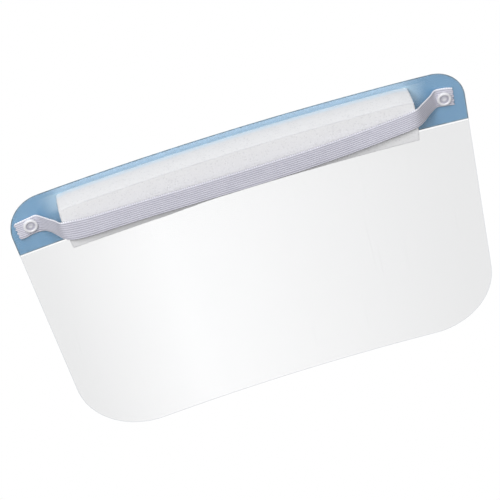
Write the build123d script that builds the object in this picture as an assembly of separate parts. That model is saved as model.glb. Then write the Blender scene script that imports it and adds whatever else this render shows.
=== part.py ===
from build123d import *
from math import cos, degrees, sin
import os

# Disposable face shield, in millimetres. +Z is up and +Y points to the wearer, so the clear visor
# faces -Y. The origin is the middle of the foam's front face, where it meets the forehead.

# visor film: a flat-cut sheet, bent to one gentle cylinder about a vertical axis
film_width = 330.0
film_height = 220.0
film_thickness = 0.25
film_radius = 1370.0  # of the face on the wearer's side
film_taper = 0.04  # share of the width that the bottom edge is narrower by
top_corner = 24.0
bottom_corner = 51.0

# blue strip laminated to the film's outer face, along its top edge
band_height = 41.5
band_thickness = 0.12
band_gap = 0.06

# forehead cushion and the double-sided tape that holds it to the film
foam_length = 253.0
foam_depth = 21.7
foam_height = 32.0
foam_below_top = 3.8
tape_thickness = 0.9
tape_margin = 1.5
tape_gap = 0.1

# elastic headband: across the cushion's front, then down to the film at both ends
strap_width = 15.0
strap_thickness = 1.2
strap_gap = 0.15
strap_off_foam = 0.3
strap_past_corner = 2.0
strap_landing = 142.5
strap_end = 159.0
strap_bend = 4.0
strap_droop = 3.5
pinked_teeth = 4
pinked_depth = 1.2

# snap rivets: a headed post from outside, pushed through film and elastic into a socket
rivet_arc = 149.5
rivet_below_top = 20.0
shank_radius = 2.0
hole_clearance = 0.1
face_clearance = 0.1
head_radius = 5.6
head_height = 1.6
head_rounding = 1.0
socket_radius = 5.1
socket_height = 2.3
socket_rounding = 0.9
socket_clearance = 0.02
recess_radius = 3.1
recess_depth = 1.2
tip_radius = 2.5
tip_height = 0.7

# worked out from the dimensions above
film_y = -(foam_depth + tape_thickness + 2 * tape_gap)
centre_y = film_y + film_radius
film_top = foam_below_top + foam_height / 2
film_bottom = film_top - film_height
rivet_z = film_top - rivet_below_top
rivet_angle = rivet_arc / film_radius
hole_radius = shank_radius + hole_clearance
outer_face = -(film_thickness + band_gap + band_thickness)
strap_face = strap_gap + strap_thickness


def on_curve(arc, offset):
    """The x and y of a point at an arc from the middle and an offset from the film to the wearer."""
    angle = arc / film_radius
    radius = film_radius - offset
    return radius * sin(angle), centre_y - radius * cos(angle)


def curved_block(low_offset, high_offset, half_length, low_z, high_z):
    """A straight block bent to the film's curve: it keeps its length on both faces."""
    outer, inner = [
        CenterArc((0, centre_y), radius, 270 - degrees(half_length / radius), 2 * degrees(half_length / radius))
        for radius in (film_radius - low_offset, film_radius - high_offset)
    ]
    ends = [Line(outer @ 0, inner @ 0), Line(outer @ 1, inner @ 1)]
    section = make_face([outer, inner, *ends])
    return Pos(0, 0, low_z) * extrude(section, high_z - low_z, dir=(0, 0, 1))


def film_outline():
    """The film's cut shape as a prism along Y: straight sides, wider above, and four round corners."""
    half_top = on_curve(film_width / 2, 0)[0]
    half_bottom = half_top * (1 - film_taper)
    corners = [
        (-half_bottom, film_bottom),
        (half_bottom, film_bottom),
        (half_top, film_top),
        (-half_top, film_top),
    ]
    shape = make_face(Polyline(*corners, close=True))
    shape = fillet(shape.vertices().sort_by(Axis.Y)[:2], bottom_corner)
    shape = fillet(shape.vertices().sort_by(Axis.Y)[-2:], top_corner)
    return extrude(Plane.XZ * shape, 2 * foam_height, both=True)


def rivet_plane(side):
    """The film's face at a rivet, with Z towards the wearer. side is 1 at the wearer's left, -1 at the right."""
    x, y = on_curve(rivet_arc, 0)
    return Plane(
        origin=(side * x, y, rivet_z),
        x_dir=(side * cos(rivet_angle), sin(rivet_angle), 0),
        z_dir=(-side * sin(rivet_angle), cos(rivet_angle), 0),
    )


def disc(radius, low, high):
    """A round disc on the rivet's axis between two heights."""
    return Pos(0, 0, low) * Cylinder(radius, high - low, align=(Align.CENTER, Align.CENTER, Align.MIN))


def punched(solid):
    """A sheet with its two rivet holes."""
    for side in (1, -1):
        solid -= rivet_plane(side) * disc(hole_radius, -2, 4)
    return solid


def visor_film():
    half = film_width / 2 + 5
    sheet = curved_block(-film_thickness, 0, half, film_bottom - 1, film_top + 1)
    return punched(sheet & film_outline())


def brow_band():
    half = film_width / 2 + 5
    low = film_top - band_height
    sheet = curved_block(outer_face, outer_face + band_thickness, half, low, film_top + 1)
    return punched(sheet & film_outline())


def foam_tape():
    half = foam_length / 2 - tape_margin
    low = -foam_height / 2 + tape_margin
    return curved_block(tape_gap, tape_gap + tape_thickness, half, low, -low)


def foam_cushion():
    back = 2 * tape_gap + tape_thickness
    return curved_block(back, back + foam_depth, foam_length / 2, -foam_height / 2, foam_height / 2)


def strap_route():
    """The elastic's middle line in plan, from one cut end to the other."""
    corner_arc = foam_length / 2 * film_radius / (film_radius + film_y)
    corner_x, corner_y = on_curve(corner_arc, -film_y)
    front_y = corner_y + strap_off_foam + strap_thickness / 2
    lay = strap_gap + strap_thickness / 2
    rivet_x, rivet_y = on_curve(rivet_arc, lay)
    half = [(corner_x + strap_past_corner, front_y)]
    for arc in (strap_landing, strap_end):
        along = arc - rivet_arc
        half.append((rivet_x + along * cos(rivet_angle), rivet_y + along * sin(rivet_angle)))
    other_half = [(-x, y) for x, y in reversed(half)]
    return FilletPolyline(*other_half, *half, radius=strap_bend)


def strap_outline():
    """The elastic seen from the wearer, as a prism along Y: it droops a little in the middle, and its ends are pinked."""
    end_x = strap_route().bounding_box().max.X + 1
    high, low = rivet_z + strap_width / 2, rivet_z - strap_width / 2
    step = strap_width / (2 * pinked_teeth)
    inset = [1 + pinked_depth * (i % 2) for i in range(2 * pinked_teeth + 1)]
    right = [(end_x - inset[i], low + i * step) for i in range(2 * pinked_teeth + 1)]
    left = [(-x, z) for x, z in right]
    edges = [
        Polyline(*right),
        Polyline(*left),
        ThreePointArc(right[0], (0, low - strap_droop), left[0]),
        ThreePointArc(right[-1], (0, high - strap_droop), left[-1]),
    ]
    return extrude(Plane.XZ * make_face(edges), 2 * foam_height, both=True)


def elastic_headband():
    ribbon = extrude(trace(strap_route(), strap_thickness), 2 * strap_width, both=True)
    return punched(ribbon & strap_outline())


def rivet_post():
    """The outer half of a snap rivet: a low round head, a shank and the tip that snaps into the socket."""
    head_top = outer_face - face_clearance
    head = disc(head_radius, head_top - head_height, head_top)
    head = fillet(head.edges().sort_by(Axis.Z)[:1], head_rounding)
    floor = strap_face + face_clearance + socket_height - recess_depth + socket_clearance
    shank = disc(shank_radius, head_top, floor)
    tip = disc(tip_radius, floor, floor + tip_height)
    tip = chamfer(tip.edges().sort_by(Axis.Z)[-1:], tip_height / 2)
    return head + shank + tip


def rivet_socket():
    """The inner half: a rounded ring with a recess, where the post's tip shows."""
    base = strap_face + face_clearance
    top = base + socket_height
    ring = disc(socket_radius, base, top)
    ring = fillet(ring.edges().sort_by(Axis.Z)[-1:], socket_rounding)
    ring -= disc(recess_radius, top - recess_depth, top + 1)
    return ring - disc(shank_radius + socket_clearance, base - 1, top)


parts = {
    "visor_film": visor_film(),
    "brow_band": brow_band(),
    "foam_tape": foam_tape(),
    "foam_cushion": foam_cushion(),
    "elastic_headband": elastic_headband(),
}
for name, side in (("left", 1), ("right", -1)):
    parts[f"rivet_post_{name}"] = rivet_plane(side) * rivet_post()
    parts[f"rivet_socket_{name}"] = rivet_plane(side) * rivet_socket()

os.makedirs("parts", exist_ok=True)
for name, solid in parts.items():
    export_step(solid, f"parts/{name}.step")
    box = solid.bounding_box()
    print(f"{name}: {solid.volume:.0f} mm3, {box.size.X:.1f} x {box.size.Y:.1f} x {box.size.Z:.1f} mm")
for side in (1, -1):
    plane = rivet_plane(side)
    print("rivet at", plane.origin, "along", plane.z_dir)
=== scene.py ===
from math import cos, pi, radians, sin, sqrt

import bmesh
import bpy
from mathutils import Matrix, Vector, noise


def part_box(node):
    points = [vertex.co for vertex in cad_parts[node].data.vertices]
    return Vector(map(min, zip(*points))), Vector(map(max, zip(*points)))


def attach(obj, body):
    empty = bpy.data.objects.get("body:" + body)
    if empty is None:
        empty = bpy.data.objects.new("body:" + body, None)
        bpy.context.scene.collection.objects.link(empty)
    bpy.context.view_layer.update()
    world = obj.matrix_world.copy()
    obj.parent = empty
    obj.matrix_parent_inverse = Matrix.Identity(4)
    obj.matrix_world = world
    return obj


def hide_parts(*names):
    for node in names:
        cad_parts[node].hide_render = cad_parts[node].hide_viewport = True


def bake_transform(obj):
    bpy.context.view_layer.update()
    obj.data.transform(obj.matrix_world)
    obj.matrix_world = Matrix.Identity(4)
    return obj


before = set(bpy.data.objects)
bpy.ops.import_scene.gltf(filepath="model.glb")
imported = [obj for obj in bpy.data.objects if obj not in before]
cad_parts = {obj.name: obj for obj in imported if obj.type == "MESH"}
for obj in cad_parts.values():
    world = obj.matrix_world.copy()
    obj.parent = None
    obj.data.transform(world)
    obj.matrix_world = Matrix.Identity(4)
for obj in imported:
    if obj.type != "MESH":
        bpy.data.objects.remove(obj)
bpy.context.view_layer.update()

# Face shield, worn upright: +Z up, +Y towards the wearer, the clear visor in front at -Y.
# Pieces that lie along the film are first made flat, as (distance along the film, distance off its
# inner face towards the wearer, height), and then rolled round with the film.

mm = 0.001

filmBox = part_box("visor_film")
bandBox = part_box("brow_band")
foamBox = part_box("foam_cushion")
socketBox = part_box("rivet_socket_left")

roll = {"radius": 1370 * mm, "thickness": 0.25 * mm}
roll["face"] = filmBox[0].y + roll["thickness"]
roll["centre"] = roll["face"] + roll["radius"]
rivetHeight = (socketBox[0].z + socketBox[1].z) / 2


def rolled(point):
    # a flat point (along, off, height) to its place in the frame
    angle = point[0] / roll["radius"]
    reach = roll["radius"] - point[1]
    return Vector((reach * sin(angle), roll["centre"] - reach * cos(angle), point[2]))


def smooth(low, high, x):
    t = min(max((x - low) / (high - low), 0), 1)
    return t * t * (3 - 2 * t)


def finishMesh(name, bm, *finishes, sharpAngle=40):
    # turns a finished bmesh into an object with smooth faces and crisp corners
    bmesh.ops.remove_doubles(bm, verts=bm.verts, dist=0.002 * mm)
    bmesh.ops.recalc_face_normals(bm, faces=bm.faces)
    mesh = bpy.data.meshes.new(name)
    for face in bm.faces:
        face.smooth = True
    for edge in bm.edges:
        edge.smooth = edge.is_manifold and edge.calc_face_angle(0) < radians(sharpAngle)
    bm.to_mesh(mesh)
    bm.free()
    for finish in finishes:
        mesh.materials.append(finish)
    piece = bpy.data.objects.new(name, mesh)
    bpy.context.scene.collection.objects.link(piece)
    return piece


def newFinish(name):
    finish = bpy.data.materials.new(name)
    finish.use_nodes = True
    tree = finish.node_tree
    tree.nodes.clear()
    output = tree.nodes.new("ShaderNodeOutputMaterial")
    return finish, tree, output


def add(tree, kind, **values):
    # a node with its settings and its input values or links; inputs are named with _ for a space
    made = tree.nodes.new("ShaderNode" + kind)
    for key, value in values.items():
        if hasattr(made, key):
            setattr(made, key, value)
            continue
        socket = next(s for s in made.inputs if s.name.replace(" ", "_") == key and s.enabled)
        if isinstance(value, bpy.types.NodeSocket):
            tree.links.new(value, socket)
        else:
            socket.default_value = value
    return made


def maths(tree, operation, a, b=0.0, c=0.0):
    made = tree.nodes.new("ShaderNodeMath")
    made.operation = operation
    for socket, value in zip(made.inputs, (a, b, c)):
        if isinstance(value, bpy.types.NodeSocket):
            tree.links.new(value, socket)
        else:
            socket.default_value = value
    return made.outputs[0]


def ramp(tree, factor, *stops):
    # a colour ramp; each stop is (place, colour)
    made = tree.nodes.new("ShaderNodeValToRGB")
    tree.links.new(factor, made.inputs[0])
    points = made.color_ramp.elements
    while len(points) < len(stops):
        points.new(0.5)
    for point, (place, colour) in zip(points, stops):
        point.position = place
        point.color = (*colour, 1)
    return made.outputs["Color"]


def grey(value):
    return (value, value, value)


def objectPlace(tree, scale=(1, 1, 1)):
    place = tree.nodes.new("ShaderNodeTexCoord").outputs["Object"]
    return add(tree, "Mapping", Vector=place, Scale=scale).outputs[0]


def noiseOf(tree, place, scale, detail=2.0, rough=0.5):
    made = add(tree, "TexNoise", Vector=place, Scale=scale, Detail=detail, Roughness=rough)
    return made.outputs["Fac"]


def bumpOf(tree, height, strength, depth):
    return add(tree, "Bump", Strength=strength, Distance=depth, Height=height).outputs[0]


def eased(tree, value, low, high, atLow, atHigh):
    # goes smoothly from one level to another as the value goes from low to high
    made = add(
        tree, "MapRange", interpolation_type="SMOOTHSTEP", Value=value,
        From_Min=low, From_Max=high, To_Min=atLow, To_Max=atHigh
    )
    return made.outputs[0]


def tinted(tree, share, colour, over):
    # lays a share of one plain colour over another colour
    made = add(tree, "Mix", data_type="RGBA")
    tree.links.new(share, made.inputs["Factor"])
    tree.links.new(colour, made.inputs[6])
    made.inputs[7].default_value = (*over, 1)
    return made.outputs[2]


def mixed(tree, share, first, second):
    made = add(tree, "MixShader", Fac=share)
    tree.links.new(first.outputs[0], made.inputs[1])
    tree.links.new(second.outputs[0], made.inputs[2])
    return made


clearFilm = {
    "tint": (0.945, 0.946, 0.948),  # what one face lets through
    "straightOn": 0.055,  # share mirrored when seen square on
    "grazing": 0.9,  # share added at the flattest angle
    "gloss": 0.06,
    "smearGloss": 0.04,  # how much the smears change its gloss
    "smears": (14, 14, 5),
    "backedGloss": 0.3,  # how much rougher its mirroring is where the blue strip backs it
    "ripples": (12, 12, 2),
    "rippleDepth": 0.4 * mm,
    "haze": 0.012,
    "hazeColour": (0.82, 0.85, 0.88),
    "scuffs": (900, 900, 14),
    "scuffHaze": 0.015,
    "highlightLine": 1.1 * mm,  # height of the painted highlight line below the blue strip, where the film is left fully clear and untinted
    "highlightLineLumps": (260, 260, 260),
}


def clearFilmFinish():
    look = clearFilm
    finish, tree, output = newFinish("clear film")
    height = add(tree, "SeparateXYZ", Vector=objectPlace(tree)).outputs[2]
    facing = add(tree, "LayerWeight", Blend=0.5).outputs["Facing"]
    grazing = maths(tree, "POWER", facing, 5)
    mirrored = maths(tree, "MULTIPLY_ADD", grazing, look["grazing"], look["straightOn"])
    smears = noiseOf(tree, objectPlace(tree, look["smears"]), 2.0, 4, 0.6)
    evenGloss = look["gloss"] - look["smearGloss"] / 2
    gloss = maths(tree, "MULTIPLY_ADD", smears, look["smearGloss"], evenGloss)
    overBand = maths(tree, "GREATER_THAN", height, bandBox[0].z)
    gloss = maths(tree, "MULTIPLY_ADD", overBand, look["backedGloss"], gloss)
    ripple = noiseOf(tree, objectPlace(tree, look["ripples"]), 1.0, 1)
    bump = bumpOf(tree, ripple, 0.02, look["rippleDepth"])
    clear = add(tree, "BsdfTransparent", Color=(*look["tint"], 1))
    shine = add(tree, "BsdfGlossy", Color=(1, 1, 1, 1), Roughness=gloss, Normal=bump)
    film = mixed(tree, mirrored, clear, shine)
    # a thin haze of scuffs and smears
    streaks = noiseOf(tree, objectPlace(tree, look["scuffs"]), 1.0, 2)
    scuffs = ramp(tree, streaks, (0.62, grey(0)), (0.75, grey(1)))
    share = maths(tree, "MULTIPLY_ADD", scuffs, look["scuffHaze"], look["haze"])
    share = maths(tree, "MULTIPLY", share, maths(tree, "ADD", smears, 0.5))
    haze = add(tree, "BsdfDiffuse", Color=(*look["hazeColour"], 1), Roughness=0.5)
    patchy = mixed(tree, share, film, haze)
    # a painted highlight: the bright line under the blue strip, where the film is made fully clear and
    # untinted
    under = maths(tree, "SUBTRACT", bandBox[0].z, height)
    highlightLine = maths(tree, "COMPARE", under, look["highlightLine"] / 2, look["highlightLine"] / 2)
    lumps = noiseOf(tree, objectPlace(tree, look["highlightLineLumps"]), 1.0, 2)
    highlightLine = maths(tree, "MULTIPLY", highlightLine, maths(tree, "MULTIPLY_ADD", lumps, 0.6, 0.6))
    untinted = add(tree, "BsdfTransparent", Color=(1, 1, 1, 1))
    lined = mixed(tree, maths(tree, "MINIMUM", highlightLine, 1.0), patchy, untinted)
    tree.links.new(lined.outputs[0], output.inputs[0])
    return finish


sheetEdge = {
    "dark": (0.40, 0.42, 0.44),
    "light": (0.55, 0.57, 0.59),
    "tint": (0.93, 0.94, 0.95),
    "milky": 0.12,  # how much of it isn't clear
}


def cutEdgeFinish():
    # the sheared rim of the sheet, which gathers light and looks a little grey
    finish, tree, output = newFinish("film cut edge")
    nicks = noiseOf(tree, objectPlace(tree), 900, 3)
    colour = ramp(tree, nicks, (0.3, sheetEdge["dark"]), (0.7, sheetEdge["light"]))
    skin = add(tree, "BsdfPrincipled", Base_Color=colour, Roughness=0.25)
    clear = add(tree, "BsdfTransparent", Color=(*sheetEdge["tint"], 1))
    rim = mixed(tree, sheetEdge["milky"], clear, skin)
    tree.links.new(rim.outputs[0], output.inputs[0])
    return finish


blueFilm = {
    "blue": (0.268, 0.515, 0.762),
    "deep": (0.215, 0.445, 0.690),
    "clouds": 22,
    "grain": 1400,
    "gloss": 0.3,
    "cloudGloss": 0.12,
    "ripples": (60, 60, 25),
    "rippleDepth": 0.3 * mm,
    "edge": (0.190, 0.300, 0.375),
    "edgeLight": (0.290, 0.450, 0.575),
    "edgeDashes": (300, 300, 300),
    "paintedFoamLight": (0.480, 0.680, 0.860),  # painted light: lighter where the white foam throws its light on it
    "paintedFoamLightIn": 8 * mm,  # the painted light is full up to this far inside the foam's ends
    "paintedFoamLightOut": 16 * mm,  # and no more this far outside them
    "paintedFoamLightBelow": 17 * mm,  # it is least this far below the foam's top
    "paintedFoamLightFull": 10 * mm,  # and fully from this far below it
    "paintedFoamLightLeast": 0.12,
    "glow": (0.62, 0.84, 1.00),  # a painted reflection of the foam's white end, as the film would mirror it
    "paintedReflectionMost": 0.95,
    "paintedReflectionIn": 4 * mm,
    "paintedReflectionReach": 15 * mm,  # how far beside the foam the painted reflection reaches
    "paintedReflectionBelow": 0.5 * mm,  # and from how far below its top
}


def nearFoam(tree):
    # two shares of painted light on the strip's inner face: a lightening near the white foam, and a painted
    # reflection of the foam beside its ends
    look, foamTop = blueFilm, foamBox[1].z
    apart = add(tree, "SeparateXYZ", Vector=objectPlace(tree))
    past = maths(tree, "SUBTRACT", maths(tree, "ABSOLUTE", apart.outputs[0]), foamBox[1].x)
    height = apart.outputs[2]
    fade = eased(tree, past, -look["paintedFoamLightIn"], look["paintedFoamLightOut"], 1, 0)
    low, high = foamTop - look["paintedFoamLightBelow"], foamTop - look["paintedFoamLightFull"]
    over = eased(tree, height, low, high, look["paintedFoamLightLeast"], 1)
    normal = tree.nodes.new("ShaderNodeNewGeometry").outputs["Normal"]
    inner = maths(tree, "GREATER_THAN", add(tree, "SeparateXYZ", Vector=normal).outputs[1], 0)
    over = maths(tree, "MULTIPLY", over, inner)
    paintedFoamLight = maths(tree, "MULTIPLY", fade, over)
    # a painted reflection of the foam's white ends, beside them
    beside = eased(tree, past, -look["paintedReflectionIn"], look["paintedReflectionReach"], look["paintedReflectionMost"], 0)
    under = maths(tree, "LESS_THAN", height, foamTop - look["paintedReflectionBelow"])
    mirrored = maths(tree, "MULTIPLY", beside, maths(tree, "MULTIPLY", over, under))
    return paintedFoamLight, mirrored


def blueFilmFinish():
    look = blueFilm
    finish, tree, output = newFinish("blue film")
    clouds = noiseOf(tree, objectPlace(tree), look["clouds"], 3, 0.55)
    grain = noiseOf(tree, objectPlace(tree), look["grain"], 2)
    tone = maths(tree, "MULTIPLY_ADD", clouds, 0.9, -0.1)
    tone = maths(tree, "MULTIPLY_ADD", grain, 0.3, tone)
    colour = ramp(tree, tone, (0.25, look["deep"]), (0.75, look["blue"]))
    paintedFoamLight, mirrored = nearFoam(tree)
    # painted light near the foam, then a painted reflection of its white ends
    colour = tinted(tree, paintedFoamLight, colour, look["paintedFoamLight"])
    colour = tinted(tree, mirrored, colour, look["glow"])
    gloss = maths(tree, "MULTIPLY_ADD", clouds, look["cloudGloss"], look["gloss"])
    ripple = noiseOf(tree, objectPlace(tree, look["ripples"]), 1.0, 2)
    bump = bumpOf(tree, ripple, 0.1, look["rippleDepth"])
    skin = add(
        tree, "BsdfPrincipled", Base_Color=colour, Roughness=gloss, Normal=bump, Specular_IOR_Level=0.2
    )
    tree.links.new(skin.outputs[0], output.inputs[0])
    return finish


def blueEdgeFinish():
    # the strip's sheared rim, dark in short dashes
    finish, tree, output = newFinish("blue film edge")
    dashes = noiseOf(tree, objectPlace(tree, blueFilm["edgeDashes"]), 1.0, 3)
    colour = ramp(tree, dashes, (0.45, blueFilm["edge"]), (0.62, blueFilm["edgeLight"]))
    skin = add(tree, "BsdfPrincipled", Base_Color=colour, Roughness=0.5)
    tree.links.new(skin.outputs[0], output.inputs[0])
    return finish


foamLook = {
    "skin": (0.800, 0.800, 0.812),
    # the colour deep in a pore, darker as painted shade
    "hollow": (0.66, 0.66, 0.68),
    "paintedEdgeShade": (0.50, 0.50, 0.525),  # painted shade along its cut edges
    "blueBounceAndTopShade": (0.66, 0.76, 0.85),  # painted light: bluish bounce light on its top beside the blue film, and a faint painted shade over the rest of the top
    "pore": 0.6 * mm,
    "largePore": 2 * mm,
    "drift": 0.6 * mm,  # how far the pores stray from round
    "driftScale": 600,
    "fine": 4200,
    "patches": 120,
    "poreDepth": 0.35 * mm,
}


def poresOf(tree, place, size, sharpness):
    # 1 in the middle of each round pore, and 0 between them
    cells = add(tree, "TexVoronoi", Vector=place, Scale=1 / size).outputs["Distance"]
    wall = maths(tree, "MINIMUM", maths(tree, "MULTIPLY", cells, sharpness), 1.0)
    return maths(tree, "SUBTRACT", 1.0, wall)


def foamFinish():
    # open-cell foam: small round pores of two sizes in a matte skin, with painted shade in the pores and along
    # its edges, and painted light on its top by the film
    look = foamLook
    finish, tree, output = newFinish("white foam")
    place = objectPlace(tree)
    stray = add(tree, "TexNoise", Vector=place, Scale=look["driftScale"]).outputs["Color"]
    drift = add(tree, "VectorMath", operation="SCALE", Scale=look["drift"])
    tree.links.new(stray, drift.inputs[0])
    bent = add(tree, "VectorMath", operation="ADD")
    tree.links.new(place, bent.inputs[0])
    tree.links.new(drift.outputs[0], bent.inputs[1])
    pore = poresOf(tree, bent.outputs[0], look["pore"], 1.5)
    wide = poresOf(tree, bent.outputs[0], look["largePore"], 2.4)
    depth = maths(tree, "MULTIPLY_ADD", wide, 0.6, maths(tree, "MULTIPLY", pore, 0.4))
    patch = noiseOf(tree, place, look["patches"], 4, 0.6)
    # painted shade: darker in the pores; the patches make it lighter or darker at random
    tone = maths(tree, "MULTIPLY_ADD", patch, 0.5, maths(tree, "SUBTRACT", 0.75, depth))
    colour = ramp(tree, tone, (0.15, look["hollow"]), (0.85, look["skin"]))
    # painted shade along the cut edges, in patches
    paintedEdgeShade = add(tree, "Attribute", attribute_name="edgeShadeShare").outputs["Fac"]
    paintedEdgeShade = maths(tree, "MULTIPLY", paintedEdgeShade, maths(tree, "MULTIPLY_ADD", patch, 1.2, -0.1))
    colour = tinted(tree, paintedEdgeShade, colour, look["paintedEdgeShade"])
    # painted light: bluish bounce light on the top beside the film, and a faint painted shade over the rest of
    # the top
    blueBounceAndTopShade = add(tree, "Attribute", attribute_name="blueBounceAndTopShade").outputs["Fac"]
    colour = tinted(tree, blueBounceAndTopShade, colour, look["blueBounceAndTopShade"])
    fine = noiseOf(tree, place, look["fine"], 3)
    height = maths(tree, "SUBTRACT", maths(tree, "MULTIPLY", fine, 0.2), depth)
    bump = bumpOf(tree, height, 0.5, look["poreDepth"])
    skin = add(
        tree, "BsdfPrincipled", Base_Color=colour, Roughness=0.95, Normal=bump, Specular_IOR_Level=0.1
    )
    tree.links.new(skin.outputs[0], output.inputs[0])
    return finish


tapeLook = {
    "dark": (0.72, 0.73, 0.70),
    "light": (0.86, 0.87, 0.84),
    "mottle": 180,
    "depth": 0.1 * mm,
}


def tapeFinish():
    finish, tree, output = newFinish("adhesive tape")
    mottle = noiseOf(tree, objectPlace(tree), tapeLook["mottle"], 5, 0.6)
    colour = ramp(tree, mottle, (0.3, tapeLook["dark"]), (0.7, tapeLook["light"]))
    bump = bumpOf(tree, mottle, 0.3, tapeLook["depth"])
    skin = add(tree, "BsdfPrincipled", Base_Color=colour, Roughness=0.55, Normal=bump)
    tree.links.new(skin.outputs[0], output.inputs[0])
    return finish


elasticLook = {
    "thread": (0.665, 0.660, 0.735),
    # the colour deep in the rib grooves and between stitches, darker as painted shade
    "groove": (0.36, 0.36, 0.44),
    # the painted shade line in the groove beside each selvedge
    "shadeLine": (0.40, 0.40, 0.47),
    "selvedge": (0.90, 0.91, 0.95),
    "stitch": 0.85,  # length of one knitted stitch, in millimetres like the UV map
    "stitchLean": 1.6,
    "shadeLineIn": 1.7,  # where a painted shade line runs in the groove inside each edge
    "shadeLineWide": 0.4,
    "upperShadeLine": 0.3,  # how strong the upper shade line is, where the lower one is 1
    "selvedgeWide": 0.85,
    "loops": 1.6,  # spacing of the selvedge's white loops
    "brighterEndsIn": 14 * mm,  # the selvedge's painted highlight grows from this far inside the foam's ends
    "brighterEndsOut": 4 * mm,  # to this far outside them
    "knitDepth": 0.2 * mm,
}


def elasticFinish(ribs, width):
    # knitted ribs: the UV map holds millimetres, U along the elastic and V across it
    look = elasticLook
    finish, tree, output = newFinish("ribbed elastic")
    uv = add(tree, "UVMap", uv_map="weave").outputs[0]
    apart = add(tree, "SeparateXYZ", Vector=uv)
    along, across = apart.outputs[0], apart.outputs[1]
    fuzz = noiseOf(tree, uv, 1.1, 4, 0.65)
    patch = noiseOf(tree, uv, 0.12, 2)
    ribTurn = maths(tree, "MULTIPLY", across, 2 * pi * ribs / width)
    rib = maths(tree, "MULTIPLY_ADD", maths(tree, "COSINE", ribTurn), 0.5, 0.5)
    lean = maths(tree, "PINGPONG", across, width / ribs / 2)
    lean = maths(tree, "MULTIPLY", lean, look["stitchLean"])
    stitchTurn = maths(tree, "MULTIPLY", maths(tree, "ADD", along, lean), 2 * pi / look["stitch"])
    stitch = maths(tree, "MULTIPLY_ADD", maths(tree, "SINE", stitchTurn), 0.5, 0.5)
    knit = maths(tree, "MULTIPLY_ADD", stitch, 0.3, maths(tree, "MULTIPLY", rib, 0.7))
    tone = maths(tree, "MULTIPLY_ADD", fuzz, 0.9, maths(tree, "MULTIPLY_ADD", patch, 0.3, knit))
    tone = maths(tree, "MULTIPLY", tone, 0.6)
    # painted shade: darker in the rib grooves and between the stitches, with its own random fuzz and patches
    colour = ramp(tree, tone, (0.30, look["groove"]), (0.80, look["thread"]))
    # the pale selvedge in small loops: its own pale yarn with a painted highlight, strongest towards the ends
    middle = maths(tree, "ABSOLUTE", across)
    edge = maths(tree, "SUBTRACT", middle, width / 2 - look["selvedgeWide"])
    edge = maths(tree, "MULTIPLY", edge, 1.4)
    edge = maths(tree, "MINIMUM", maths(tree, "MAXIMUM", edge, 0.0), 1.0)
    loopTurn = maths(tree, "MULTIPLY", along, 2 * pi / look["loops"])
    loops = maths(tree, "MULTIPLY", maths(tree, "SINE", loopTurn), 0.4)
    loops = maths(tree, "ADD", loops, maths(tree, "MULTIPLY", fuzz, 0.3))
    fromMiddle = add(tree, "SeparateXYZ", Vector=objectPlace(tree)).outputs[0]
    fromMiddle = maths(tree, "ABSOLUTE", fromMiddle)
    # painted highlight on the selvedge, growing towards the ends
    low, high = foamBox[1].x - look["brighterEndsIn"], foamBox[1].x + look["brighterEndsOut"]
    brighterEnds = eased(tree, fromMiddle, low, high, 0, 1)
    loops = maths(tree, "MULTIPLY_ADD", brighterEnds, 0.7, loops)
    edge = maths(tree, "MULTIPLY", edge, maths(tree, "MAXIMUM", loops, 0.0))
    colour = tinted(tree, edge, colour, look["selvedge"])
    # a painted shade line in the groove beside each selvedge, broken up in places
    shadeLine = maths(tree, "COMPARE", middle, width / 2 - look["shadeLineIn"], look["shadeLineWide"])
    lower = maths(tree, "LESS_THAN", across, 0)
    lower = maths(tree, "MULTIPLY_ADD", lower, 1 - look["upperShadeLine"], look["upperShadeLine"])
    shadeLine = maths(tree, "MULTIPLY", shadeLine, lower)
    patchy = maths(tree, "MULTIPLY_ADD", noiseOf(tree, uv, 0.05, 2), 2.4, -0.65)
    shadeLine = maths(tree, "MULTIPLY", shadeLine, maths(tree, "MINIMUM", patchy, 0.9))
    colour = tinted(tree, maths(tree, "MAXIMUM", shadeLine, 0.0), colour, look["shadeLine"])
    height = maths(tree, "MULTIPLY_ADD", fuzz, 0.5, knit)
    bump = bumpOf(tree, height, 0.6, look["knitDepth"])
    skin = add(
        tree, "BsdfPrincipled", Base_Color=colour, Roughness=0.85, Normal=bump,
        Specular_IOR_Level=0.15, Sheen_Weight=0.1, Sheen_Roughness=0.5
    )
    tree.links.new(skin.outputs[0], output.inputs[0])
    return finish


rivetLook = {
    "dark": (0.70, 0.695, 0.725),
    "light": (0.80, 0.795, 0.82),
    "recess": (0.47, 0.465, 0.53),  # inside the socket, where little light reaches
    "flow": 350,
    "scuffs": 2600,
    "scuffDepth": 0.08 * mm,
    "glow": 0.8 * mm,  # how deep light goes into the plastic
}


def rivetFinish():
    look = rivetLook
    finish, tree, output = newFinish("white snap plastic")
    place = objectPlace(tree)
    flow = noiseOf(tree, place, look["flow"], 3)
    colour = ramp(tree, flow, (0.3, look["dark"]), (0.7, look["light"]))
    recess = add(tree, "Attribute", attribute_name="recess").outputs["Fac"]
    colour = tinted(tree, recess, colour, look["recess"])
    scuff = noiseOf(tree, place, look["scuffs"], 2)
    gloss = maths(tree, "MULTIPLY_ADD", scuff, 0.2, 0.25)
    bump = bumpOf(tree, scuff, 0.15, look["scuffDepth"])
    skin = add(
        tree, "BsdfPrincipled", Base_Color=colour, Roughness=gloss, Normal=bump,
        Subsurface_Weight=0.1, Subsurface_Radius=(look["glow"], look["glow"], look["glow"])
    )
    tree.links.new(skin.outputs[0], output.inputs[0])
    return finish


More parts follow.
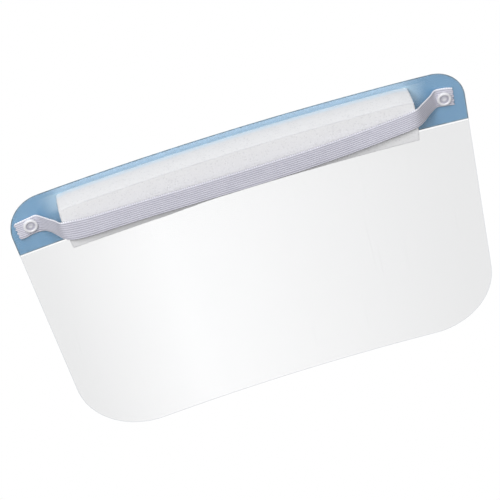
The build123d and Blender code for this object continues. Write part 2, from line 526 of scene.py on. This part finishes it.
sheet = {
    "width": 330 * mm,
    "height": 220 * mm,
    "taper": 0.04,
    # the corners aren't quite alike: (upper, 1 at the wearer's left or -1 at the right)
    "corners": {(True, 1): 27 * mm, (True, -1): 22 * mm, (False, 1): 52.5 * mm, (False, -1): 49 * mm},
    "rim": 0.5 * mm,  # how far the greyer cut edge reaches in
    "columns": 132,  # it is divided into this many to roll it
    # and across at these heights in mm from the rivets'
    "levels": (-4, -12, -22, -60, -105, -150, -190, 4, 12),
}


def cutAcross(bm, place, normal, **options):
    everything = bm.verts[:] + bm.edges[:] + bm.faces[:]
    bmesh.ops.bisect_plane(bm, geom=everything, plane_co=place, plane_no=normal, **options)


def outlineSheet(low):
    # the cut outline as one flat face, from height low up to the top edge
    top, bottom = filmBox[1].z, filmBox[1].z - sheet["height"]
    half = sheet["width"] / 2
    bm = bmesh.new()
    bmesh.ops.create_grid(bm, x_segments=1, y_segments=1, size=0.5)
    for corner in bm.verts:
        upper = corner.co.y > 0
        side = 1 if corner.co.x > 0 else -1
        corner.co = (side * half * (1 if upper else 1 - sheet["taper"]), 0, top if upper else bottom)
    sharpCorners = {(v.co.z > (top + bottom) / 2, 1 if v.co.x > 0 else -1): v for v in bm.verts}
    for place, radius in sheet["corners"].items():
        bmesh.ops.bevel(
            bm, geom=[sharpCorners[place]], offset=radius, segments=24, profile=0.5,
            affect="VERTICES", material=-1
        )
    if low > bottom:
        cutAcross(bm, (0, 0, low), (0, 0, 1), clear_inner=True)
    return bm


def thicken(bm, back, front, rimWidth):
    # gives a flat outline its rim, its rolled shape and its thickness between two offsets
    bmesh.ops.inset_region(
        bm, faces=bm.faces[:], thickness=rimWidth, use_even_offset=True, use_boundary=True
    )
    for face in bm.faces:
        face.material_index = 1 if len(face.verts) == 4 else 0
    for i in range(1, sheet["columns"]):
        at = sheet["width"] * (i / sheet["columns"] - 0.5)
        cutAcross(bm, (at, 0, 0), (1, 0, 0), dist=1e-7)
    for level in sheet["levels"]:
        cutAcross(bm, (0, 0, rivetHeight + level * mm), (0, 0, 1), dist=1e-7)
    for vertex in bm.verts:
        vertex.co.y = back
    made = bmesh.ops.extrude_face_region(bm, geom=bm.faces[:])["geom"]
    for vertex in [g for g in made if isinstance(g, bmesh.types.BMVert)]:
        vertex.co.y = front
    for face in bm.faces:
        depths = [v.co.y for v in face.verts]
        if abs(face.normal.y) < 0.5 and max(depths) > min(depths):
            face.material_index = 1
    for vertex in bm.verts:
        vertex.co = rolled(vertex.co)


def punch(piece, radius):
    # cuts the two rivet holes and keeps the result as the mesh
    cutters = []
    for side in (1, -1):
        bm = bmesh.new()
        bmesh.ops.create_cone(
            bm, cap_ends=True, segments=48, radius1=radius, radius2=radius, depth=8 * mm
        )
        bm.transform(rivetPlace(side))
        cutter = finishMesh("cutter", bm)
        cutters.append(cutter)
        cut = piece.modifiers.new("hole", "BOOLEAN")
        cut.operation, cut.solver, cut.object = "DIFFERENCE", "EXACT", cutter
    bpy.context.view_layer.update()
    shown = piece.evaluated_get(bpy.context.evaluated_depsgraph_get())
    mesh = bpy.data.meshes.new_from_object(shown)
    piece.modifiers.clear()
    old, piece.data = piece.data, mesh
    bpy.data.meshes.remove(old)
    for cutter in cutters:
        bpy.data.objects.remove(cutter)


def rivetPlace(side):
    # the film's inner face at a rivet, Z towards the wearer; side is 1 at the wearer's left
    angle = side * rivet["along"] / roll["radius"]
    x = Vector((cos(angle), sin(angle), 0))
    z = Vector((-sin(angle), cos(angle), 0))
    y = z.cross(x)
    place = Matrix((x, y, z)).transposed().to_4x4()
    place.translation = rolled((side * rivet["along"], 0, rivetHeight))
    return place


rivet = {
    "along": 149.5 * mm,  # from the middle, round the film
    "hole": 2.1 * mm,
    "shank": 2.0 * mm,
    "headRadius": 5.6 * mm,
    "headHeight": 1.6 * mm,
    "headTop": -0.53 * mm,
    "headRounding": 1.0 * mm,
    "lipRounding": 0.15 * mm,
    "socketRadius": 5.1 * mm,
    "socketHeight": 2.3 * mm,
    "socketBase": 1.45 * mm,
    "socketRounding": 0.9 * mm,
    "footRounding": 0.25 * mm,
    "gap": 0.02 * mm,  # between the two halves
    "recessRadius": 3.1 * mm,
    "recessDepth": 1.2 * mm,
    "recessRounding": 0.75 * mm,
    "floorRounding": 0.2 * mm,
    "tipRadius": 2.4 * mm,
    "tipHeight": 0.35 * mm,
    "dimple": 0.9 * mm,  # radius of the small hollow in the middle of the tip
    "dimpleFloor": 0.6 * mm,
    "dimpleDepth": 0.18 * mm,
    "tipShade": 0.35,  # how dark the tip is beside the recess's floor
    "shadeFrom": 0.15 * mm,  # the recess darkens from this far below the socket's top
    "shadeTo": 0.8 * mm,
    "shadeSlack": 0.1 * mm,  # and this far over the recess's rim
    "tipTop": 0.5 * mm,  # the tip's own shade starts this far in from its side
    "steps": 72,
}

filmSkin, filmRim = clearFilmFinish(), cutEdgeFinish()
blueSkin, blueRim = blueFilmFinish(), blueEdgeFinish()

filmSheet = outlineSheet(-1)
thicken(filmSheet, -roll["thickness"], 0, sheet["rim"])
visor = finishMesh("visor_sheet", filmSheet, filmSkin, filmRim)
punch(visor, rivet["hole"])
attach(visor, "shield")
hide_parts("visor_film")
print("visor sheet made")

# offsets from the film's inner face, and how far the dark cut edge reaches in
band = {"back": -0.43 * mm, "front": -0.31 * mm, "rim": 0.8 * mm}
bandSheet = outlineSheet(bandBox[0].z)
thicken(bandSheet, band["back"], band["front"], band["rim"])
blueBand = finishMesh("blue_band", bandSheet, blueSkin, blueRim)
punch(blueBand, rivet["hole"])
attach(blueBand, "shield")
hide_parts("brow_band")
print("blue band made")

foam = {
    "length": 253 * mm,
    "back": 1.1 * mm,
    "front": 22.8 * mm,
    "edge": 0.7 * mm,
    "step": 1.6 * mm,
    "crown": 0.5 * mm,
    "wobble": 0.25 * mm,
    "dents": 160,  # how closely its uneven dents follow each other
    "fineDents": 520,
    "blueBounceReach": 6 * mm,  # how far the painted blue bounce light reaches over the top face
    # share of the painted tint that fades away from the film; the rest stays over the whole top as a faint
    # painted shade
    "tint": 0.94,
    "edgeShadeFrom": 0.3 * mm,  # the painted edge shade fades from this far from an edge
    "edgeShadeTo": 1.3 * mm,  # to this far
    "lean": 0.7 * mm,  # how far the strap's pull leans each end outwards at the top of the front
    "swell": 0.8 * mm,  # how far the ends bulge
    "spread": 0.5,  # rolling shortens the front, and this share of that is given back
    "slip": 0.6 * mm,  # the front has slipped this far to the wearer's left
    "sag": 1.3 * mm,  # how much lower the bottom hangs on the wearer's left
    "droop": 1.0 * mm,  # how much lower the top is at the very ends
}


def cutBlock():
    # a sawn foam block with softened edges, cut finely enough to roll and to look uneven
    height = foamBox[1].z - foamBox[0].z
    size = Vector((foam["length"], foam["front"] - foam["back"], height))
    centre = Vector((0, (foam["front"] + foam["back"]) / 2, (foamBox[0].z + foamBox[1].z) / 2))
    bm = bmesh.new()
    bmesh.ops.create_cube(bm, size=1.0)
    bmesh.ops.scale(bm, vec=size, verts=bm.verts)
    bmesh.ops.translate(bm, vec=centre, verts=bm.verts)
    bmesh.ops.bevel(
        bm, geom=bm.edges[:], offset=foam["edge"], segments=3, profile=0.5,
        affect="EDGES", material=-1
    )
    for axis in range(3):
        count = round(size[axis] / foam["step"])
        normal = Vector([1.0 if i == axis else 0.0 for i in range(3)])
        for i in range(1, count):
            cutAcross(bm, centre + normal * size[axis] * (i / count - 0.5), normal, dist=1e-6)
    bm.normal_update()
    edgeShadeShare = bm.verts.layers.float.new("edgeShadeShare")
    blueBounceAndTopShade = bm.verts.layers.float.new("blueBounceAndTopShade")
    for vertex in bm.verts:
        out = vertex.normal.copy()
        at = vertex.co.copy()
        rel = Vector([2 * (at[i] - centre[i]) / size[i] for i in range(3)])
        inside = sorted(size[i] / 2 * (1 - abs(rel[i])) for i in range(3))
        # painted shade near the block's edges
        vertex[edgeShadeShare] = 1 - smooth(foam["edgeShadeFrom"], foam["edgeShadeTo"], inside[1])
        # painted light on the top face: bluish bounce light beside the film, fading to a faint painted shade
        # over the rest of the top
        tint = 1 - foam["tint"] * smooth(0, foam["blueBounceReach"], at.y - foam["back"])
        vertex[blueBounceAndTopShade] = max(out.z, 0) * tint if rel.z > 0.9 else 0
        # the faces crown a little and are uneven, except on the film
        arch = (1 - rel.y ** 2) * abs(out.z) + (1 - rel.z ** 2) * max(out.y, 0)
        rough = noise.noise(at * foam["dents"]) + 0.6 * noise.noise(at * foam["fineDents"])
        lift = foam["crown"] * (arch * 0.8 - 0.9) + foam["wobble"] * 0.5 * (rough - 0.6)
        at += out * (0 if out.y < -0.5 else lift)
        side = 1 if rel.x > 0 else -1
        forward = (rel.y + 1) / 2
        atEnd = smooth(0.9, 1, abs(rel.x))
        swell = foam["swell"] * (1 - rel.z ** 2) * atEnd * sin(pi * (0.25 + 0.5 * forward))
        at.x += side * (foam["lean"] * rel.z * forward * atEnd + swell) + foam["slip"] * forward
        at.x *= 1 + (roll["radius"] / (roll["radius"] - at.y) - 1) * foam["spread"]
        at.z -= foam["sag"] * smooth(0.4, 1, -rel.z) * smooth(0.15, 0.5, rel.x)
        at.z -= foam["droop"] * max(rel.z, 0) * smooth(0.93, 1, abs(rel.x))
        vertex.co = rolled(at)
    return bm


cushion = finishMesh("foam_block", cutBlock(), foamFinish(), sharpAngle=80)
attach(cushion, "shield")
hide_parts("foam_cushion")
print("foam cushion made")

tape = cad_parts["foam_tape"]
tape.data.materials.clear()
tape.data.materials.append(tapeFinish())

elastic = {
    "width": 15 * mm,
    "thickness": 1.2 * mm,
    "ribs": 9,
    "ribDepth": 0.16 * mm,
    "step": 0.5 * mm,  # length of a row of its grid
    "across": 45,  # columns of its grid
    "samples": 1400,  # along the whole route, to measure it
    "edgeRound": 14,  # a higher power keeps it flat further out
    "edgeLeast": 0.12,
    "edgeLoop": 1.5 * mm,  # spacing of the little loops along the selvedge
    "edgeLoopSize": 0.16 * mm,
    "teeth": 4,
    "toothDepth": 1.1 * mm,
    # the upper and the lower edge, from the wearer's left end to the right, in millimetres:
    # distance along the film, distance off it, height
    "upperEdge": [
        (160.6, 0.9, 4.6), (155.0, 0.8, 5.0), (149.4, 0.75, 5.5), (144.0, 0.9, 5.8), (140.5, 4.8, 5.6),
        (136.5, 11.4, 5.8), (132.5, 18.0, 6.4), (129.9, 23.3, 6.8), (124.6, 25.2, 6.9), (112.0, 26.6, 5.8),
        (96.0, 28.0, 5.6), (70.0, 29.2, 5.3), (35.0, 29.9, 4.5), (0.0, 30.0, 4.3), (-35.0, 29.6, 4.5),
        (-60.0, 28.6, 5.0), (-85.0, 27.1, 6.1), (-110.0, 25.3, 7.8), (-122.0, 24.3, 9.0),
        (-128.2, 22.6, 9.4), (-132.8, 16.6, 8.8), (-136.8, 11.4, 8.2), (-140.6, 6.4, 8.0),
        (-144.0, 1.6, 8.0), (-148.7, 0.75, 7.6), (-154.0, 0.75, 6.8), (-157.0, 0.75, 5.8),
    ],
    "lowerEdge": [
        (159.6, 2.6, -7.6), (155.0, 2.6, -7.9), (150.2, 0.9, -8.0), (144.8, 0.9, -8.0), (141.0, 4.4, -6.8),
        (137.6, 9.8, -6.1), (133.9, 16.0, -7.0), (130.4, 22.3, -7.4), (124.6, 25.2, -8.8), (113.0, 26.8, -9.4),
        (97.0, 28.3, -8.9), (70.0, 29.5, -8.9), (35.0, 30.1, -9.7), (0.0, 30.0, -10.4), (-35.0, 29.5, -10.2),
        (-60.0, 28.4, -9.5), (-85.0, 27.8, -7.7), (-110.0, 26.6, -5.3), (-122.0, 25.5, -4.2),
        (-128.2, 22.3, -4.5), (-132.6, 16.8, -5.0), (-136.0, 11.4, -5.2), (-139.8, 6.0, -5.6),
        (-143.6, 1.8, -5.8), (-148.7, 0.8, -6.9), (-153.0, 0.8, -7.2), (-156.2, 1.0, -7.6),
    ],
}


def catmull(points, t):
    # a smooth curve through the points; t counts points from 0
    i = min(int(t), len(points) - 2)
    f = t - i
    a = Vector(points[max(i - 1, 0)])
    b, c = Vector(points[i]), Vector(points[i + 1])
    d = Vector(points[min(i + 2, len(points) - 1)])
    bend = 2 * a - 5 * b + 4 * c - d
    twist = 3 * b - a - 3 * c + d
    return 0.5 * (2 * b + (c - a) * f + bend * f * f + twist * f ** 3)


def strapFrame(t, v):
    # the middle surface at t along and v across, -1 at the lower edge and 1 at the upper
    upper = rolled(catmull(elastic["upperEdge"], t) * mm)
    lower = rolled(catmull(elastic["lowerEdge"], t) * mm)
    return lower.lerp(upper, (v + 1) / 2)


def measureStrap():
    # every t that it is measured at, and the length of the middle line up to there
    last = len(elastic["upperEdge"]) - 1
    fine = [last * i / elastic["samples"] for i in range(elastic["samples"] + 1)]
    places = [strapFrame(t, 0) for t in fine]
    lengths = [0.0]
    for a, b in zip(places, places[1:]):
        lengths.append(lengths[-1] + (b - a).length)
    return fine, lengths


fineT, fineLength = measureStrap()
strapLength = fineLength[-1]


def tAt(length):
    # the t at a length along the middle line
    low, high = 0, len(fineLength) - 1
    length = min(max(length, 0), fineLength[-1])
    while high - low > 1:
        half = (low + high) // 2
        low, high = (half, high) if fineLength[half] <= length else (low, half)
    span = fineLength[high] - fineLength[low]
    return fineT[low] + (fineT[high] - fineT[low]) * (length - fineLength[low]) / span


def endInset(v, side):
    # pinking shears leave a zigzag; side, 0 or 1, shifts its teeth
    phase = (v + 1) / 2 * elastic["teeth"] + side * 0.37
    tooth = abs((phase % 1) * 2 - 1)
    return elastic["toothDepth"] * tooth


def layStrap(name, first, last, firstIsCut, lastIsCut):
    # a ribbon from one length to another: a flat grid, thickened, ribbed and laid on its route
    rows = round((last - first) / elastic["step"])
    bm = bmesh.new()
    bmesh.ops.create_grid(bm, x_segments=rows, y_segments=elastic["across"], size=1.0)
    for vertex in bm.verts:
        vertex.co.z = -1
    made = bmesh.ops.extrude_face_region(bm, geom=bm.faces[:])["geom"]
    for vertex in [g for g in made if isinstance(g, bmesh.types.BMVert)]:
        vertex.co.z = 1
    weave = bm.loops.layers.uv.new("weave")
    flat = {}
    for vertex in bm.verts:
        share, v = (vertex.co.x + 1) / 2, vertex.co.y
        low = first + (endInset(v, 0) if firstIsCut else 0)
        high = last - (endInset(v, 1) if lastIsCut else 0)
        flat[vertex] = (low + (high - low) * share, v, vertex.co.z)
    for face in bm.faces:
        for loop in face.loops:
            length, v, _ = flat[loop.vert]
            loop[weave].uv = (length / mm, v * elastic["width"] / 2 / mm)
    step = 0.25 * mm
    for vertex, (length, v, face) in flat.items():
        t = tAt(length)
        here = strapFrame(t, v)
        ahead = strapFrame(tAt(length + step), v) - strapFrame(tAt(length - step), v)
        up = strapFrame(t, 1) - strapFrame(t, -1)
        out = up.cross(ahead).normalized()
        rib = 0.5 - 0.5 * cos(2 * pi * elastic["ribs"] * (v + 1) / 2)
        rounding = sqrt(max(1 - abs(v) ** elastic["edgeRound"], elastic["edgeLeast"]))
        thick = (elastic["thickness"] / 2 - elastic["ribDepth"] * (1 - rib)) * rounding
        wave = sin(2 * pi * length / elastic["edgeLoop"]) * smooth(0.94, 1, abs(v))
        loopEdge = up.normalized() * elastic["edgeLoopSize"] * wave
        vertex.co = here + out * thick * face + loopEdge * (1 if v > 0 else -1)
    return finishMesh(name, bm, elasticSkin, sharpAngle=75)


elasticSkin = elasticFinish(elastic["ribs"], elastic["width"] / mm)
middleT = next(i for i, t in enumerate(elastic["upperEdge"]) if t[0] == 0)
middleLength = next(length for t, length in zip(fineT, fineLength) if t >= middleT)
halves = {
    "left": (0, middleLength, True, False),
    "right": (middleLength, strapLength, False, True),
}
# each half of the elastic is laid between these lengths along it, counted from its left end
for side, (first, last, firstIsCut, lastIsCut) in halves.items():
    sign = 1 if side == "left" else -1
    strap = layStrap("elastic_" + side, first, last, firstIsCut, lastIsCut)
    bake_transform(strap)
    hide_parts("elastic_headband")
print(f"elastic made, {strapLength / mm:.0f} mm long")


def turned(name, profile, place, finish):
    # spins a profile of (radius, height) points about the rivet's axis
    bm = bmesh.new()
    points = [bm.verts.new((r, 0, h)) for r, h in profile]
    edges = [bm.edges.new(pair) for pair in zip(points, points[1:])]
    bmesh.ops.spin(
        bm, geom=points + edges, cent=(0, 0, 0), axis=(0, 0, 1), angle=2 * pi,
        steps=rivet["steps"], use_merge=True
    )
    bmesh.ops.remove_doubles(bm, verts=bm.verts, dist=0.001 * mm)
    # how far each point lies in the socket's recess, which its finish darkens
    recess = bm.verts.layers.float.new("recess")
    rimTop = rivet["socketBase"] + rivet["socketHeight"]
    for vertex in bm.verts:
        reach = sqrt(vertex.co.x ** 2 + vertex.co.y ** 2)
        deep = smooth(rivet["shadeFrom"], rivet["shadeTo"], rimTop - vertex.co.z)
        if reach <= rivet["tipRadius"] - rivet["tipTop"]:
            deep = rivet["tipShade"]
        inside = reach < rivet["recessRadius"] + rivet["shadeSlack"]
        vertex[recess] = deep if inside and vertex.co.z > rivet["socketBase"] else 0
    bm.transform(place)
    return finishMesh(name, bm, finish, sharpAngle=50)


def rounded(corner, before, after, radius, steps=5):
    # a corner of a profile eased into an arc
    corner, before, after = Vector(corner), Vector(before), Vector(after)
    a = corner + (before - corner).normalized() * radius
    b = corner + (after - corner).normalized() * radius
    centre = a + b - corner
    arc = []
    for i in range(steps + 1):
        spoke = (a - centre).lerp(b - centre, i / steps).normalized() * radius
        arc.append(tuple(centre + spoke))
    return arc


def postProfile():
    r, top = rivet, rivet["headTop"]
    low = top - r["headHeight"]
    floor = r["socketBase"] + r["socketHeight"] - r["recessDepth"] + r["gap"]
    tipTop = floor + r["tipHeight"]
    points = [(0, low)]
    points += rounded((r["headRadius"], low), (0, low), (r["headRadius"], top), r["headRounding"], 8)
    points += rounded((r["headRadius"], top), (r["headRadius"], low), (0, top), r["lipRounding"], 2)
    points += [(r["shank"], top), (r["shank"], floor), (r["tipRadius"], floor)]
    points += rounded((r["tipRadius"], tipTop), (r["tipRadius"], floor), (0, tipTop), r["tipHeight"], 4)
    points += [(r["dimple"], tipTop), (r["dimpleFloor"], tipTop - r["dimpleDepth"])]
    points += [(0, tipTop - r["dimpleDepth"])]
    return points


def socketProfile():
    r, base = rivet, rivet["socketBase"]
    top = base + r["socketHeight"]
    floor = top - r["recessDepth"]
    bore = r["shank"] + r["gap"]
    outer, inner = r["socketRadius"], r["recessRadius"]
    points = [(bore, base)]
    points += rounded((outer, base), (bore, base), (outer, top), r["footRounding"], 3)
    points += rounded((outer, top), (outer, base), (0, top), r["socketRounding"], 8)
    points += rounded((inner, top), (outer, top), (inner, floor), r["recessRounding"], 6)
    points += rounded((inner, floor), (inner, top), (0, floor), r["floorRounding"], 3)
    points += [(bore, floor), (bore, base)]
    return points


snapPlastic = rivetFinish()
for side, sign in (("left", 1), ("right", -1)):
    place = rivetPlace(sign)
    for part, profile in (("post", postProfile()), ("socket", socketProfile())):
        turnedPart = turned(f"snap_{part}_{side}", profile, place, snapPlastic)
        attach(turnedPart, "rivet_" + side)
        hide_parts(f"rivet_{part}_{side}")
print("snap rivets made")

studio = {
    "floorDrop": 0.55,  # below the visor
    "floorSize": 40,
    "white": 1.0,  # floor and sky, as seen
    "floorBounce": 0.24,  # the floor, as it lights the object
    "skyLight": 0.40,
    # the soft box that the gloss mirrors, from the wearer's right to the left: (place, brightness)
    "softBox": (
        (0.10, 0.15), (0.19, 0.075), (0.22, 0.40), (0.25, 0.60), (0.305, 1.0),
        (0.33, 0.90), (0.375, 0.78), (0.47, 0.48), (0.605, 0.07), (0.75, 0.2),
    ),
    "softBoxLight": 2.05,
    "softBoxAcross": radians(20),  # how wide a turn its places cover
    # name, place, target, size, power
    "lamps": (
        ("key", (0.26, 1.14, 1.08), (0, 0, -0.02), 1.0, 24.5),
        ("back", (-0.5, -1.5, 0.35), (0, 0, -0.05), 0.9, 8.0),
    ),
}


def floorFinish():
    finish, tree, output = newFinish("pale floor")
    seen = tree.nodes.new("ShaderNodeLightPath").outputs["Is Camera Ray"]
    bounce = studio["floorBounce"]
    level = maths(tree, "MULTIPLY_ADD", seen, studio["white"] - bounce, bounce)
    glow = add(tree, "Emission", Color=(1, 1, 1, 1), Strength=level)
    tree.links.new(glow.outputs[0], output.inputs[0])
    return finish


floorMesh = bmesh.new()
bmesh.ops.create_grid(floorMesh, x_segments=1, y_segments=1, size=studio["floorSize"] / 2)
bmesh.ops.translate(floorMesh, vec=(0, 0, filmBox[0].z - studio["floorDrop"]), verts=floorMesh.verts)
floor = finishMesh("floor", floorMesh, floorFinish())
floor.visible_glossy = False

scene = bpy.context.scene
scene.view_settings.view_transform = "Standard"
world = bpy.data.worlds.new("soft sky")
world.use_nodes = True
scene.world = world
skyTree = world.node_tree
skyTree.nodes.clear()
skyOut = skyTree.nodes.new("ShaderNodeOutputWorld")
skyPath = skyTree.nodes.new("ShaderNodeLightPath")
# what glossy faces mirror: a soft box behind the camera, brightest a little to the wearer's right
skyPlace = skyTree.nodes.new("ShaderNodeTexCoord").outputs["Generated"]
heading = add(skyTree, "SeparateXYZ", Vector=skyPlace)
turn = maths(skyTree, "ARCTAN2", heading.outputs[0], heading.outputs[1])
turn = maths(skyTree, "MULTIPLY_ADD", turn, 1 / studio["softBoxAcross"], 0.5)
softBox = ramp(skyTree, turn, *[(place, grey(level)) for place, level in studio["softBox"]])
seen, skyLight = skyPath.outputs["Is Camera Ray"], studio["skyLight"]
skyLevel = maths(skyTree, "MULTIPLY_ADD", seen, studio["white"] - skyLight, skyLight)
skyGlow = add(skyTree, "Background", Color=(1, 1, 1, 1), Strength=skyLevel)
mirrorGlow = add(skyTree, "Background", Color=softBox, Strength=studio["softBoxLight"])
sky = mixed(skyTree, skyPath.outputs["Is Glossy Ray"], skyGlow, mirrorGlow)
skyTree.links.new(sky.outputs[0], skyOut.inputs[0])

for name, place, target, size, power in studio["lamps"]:
    lamp = bpy.data.lights.new(name, "AREA")
    lamp.shape = "RECTANGLE"
    lamp.size, lamp.size_y = size, size
    lamp.energy = power
    lampObject = bpy.data.objects.new(name, lamp)
    lampObject.location = place
    lampObject.rotation_euler = (Vector(target) - Vector(place)).to_track_quat("-Z", "Y").to_euler()
    scene.collection.objects.link(lampObject)

camera = {
    "azimuth": 178.47,
    "elevation": 34.29,
    "roll": -16.255,
    "distance": 1.2417,
    "lens": 123.695,
    # it faces the film's middle, and is then moved to its own left and up
    "leftwards": 10.5451 * mm,
    "upwards": 5.3412 * mm,
}


def placeCamera():
    azimuth, elevation = radians(camera["azimuth"]), radians(camera["elevation"])
    leaning = radians(camera["roll"])
    back = Vector((sin(azimuth) * cos(elevation), -cos(azimuth) * cos(elevation), sin(elevation)))
    level = (-back).cross(Vector((0, 0, 1))).normalized()
    above = level.cross(-back)
    right = cos(leaning) * level + sin(leaning) * above
    up = cos(leaning) * above - sin(leaning) * level
    aim = Vector((0, roll["face"], filmBox[1].z - sheet["height"] / 2))
    spot = aim + back * camera["distance"] - right * camera["leftwards"] + up * camera["upwards"]
    lens = bpy.data.cameras.new("camera")
    lens.lens = camera["lens"]
    lens.sensor_width = 36
    lens.clip_end = 60
    axes = Matrix((right, up, back)).transposed().to_4x4()
    axes.translation = spot
    eye = bpy.data.objects.new("camera", lens)
    eye.matrix_world = axes
    scene.collection.objects.link(eye)
    scene.camera = eye


placeCamera()
print("studio ready")
